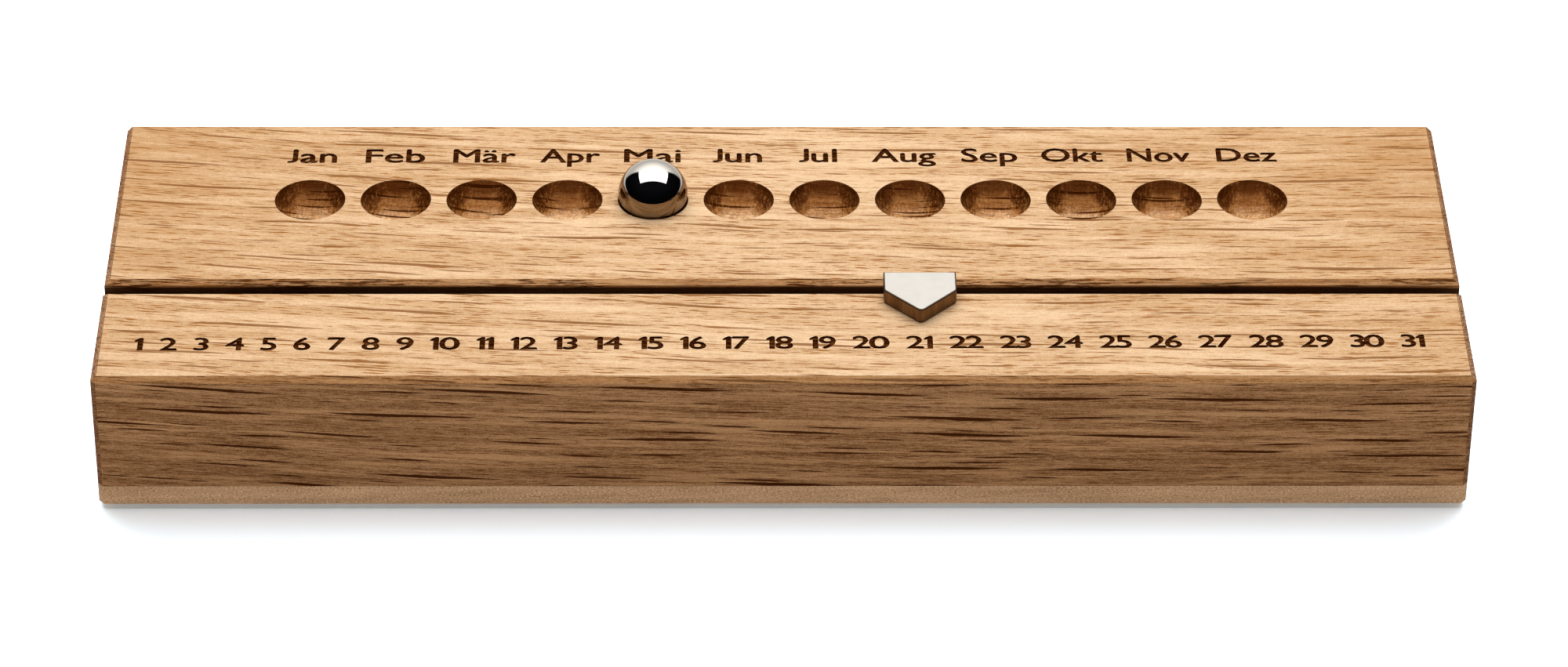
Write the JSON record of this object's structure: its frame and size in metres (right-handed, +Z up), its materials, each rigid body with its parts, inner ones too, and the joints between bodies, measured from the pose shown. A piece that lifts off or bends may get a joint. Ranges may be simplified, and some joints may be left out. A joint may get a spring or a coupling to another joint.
{
  "type": "perpetual desk calendar",
  "caption": "Long wooden desk bar with a row of round seats for a steel month ball and a groove along which a five-sided steel day pointer slides.",
  "frame": {"origin": "middle of the footprint, at the level of the desk that the feet stand on", "axes": "+X to the right along the bar, +Y to the rear, +Z up; the row of day numbers is at the front, towards -Y"},
  "size_m": [0.27, 0.09, 0.0402],
  "materials": {
    "oak": "oiled oak with brown ray flecks, laser-burnt lettering",
    "maple": "oiled pale hardwood with a fine fleck",
    "ball_steel": "mirror polished",
    "pointer_steel": "finely ground, edges broken",
    "rubber": "matt"
  },
  "bodies": {
    "block": {"oak_block": "oak", "maple_base": "maple", "rubber_foot_front_left": "rubber", "rubber_foot_front_right": "rubber", "rubber_foot_rear_left": "rubber", "rubber_foot_rear_right": "rubber"},
    "pointer": {"pointer_plate": "pointer_steel", "pointer_tongue": "pointer_steel"},
    "ball": {"month_ball": "ball_steel"}
  },
  "joints": [
    {"name": "day_slide", "type": "slide", "parent": "block", "child": "pointer", "axis": [1, 0, 0], "range_m": [-0.1537, 0.0966]},
    {"name": "ball_lift", "type": "slide", "parent": "block", "child": "ball", "axis": [0, 0, 1], "range_m": [0, 0.025]}
  ]
}
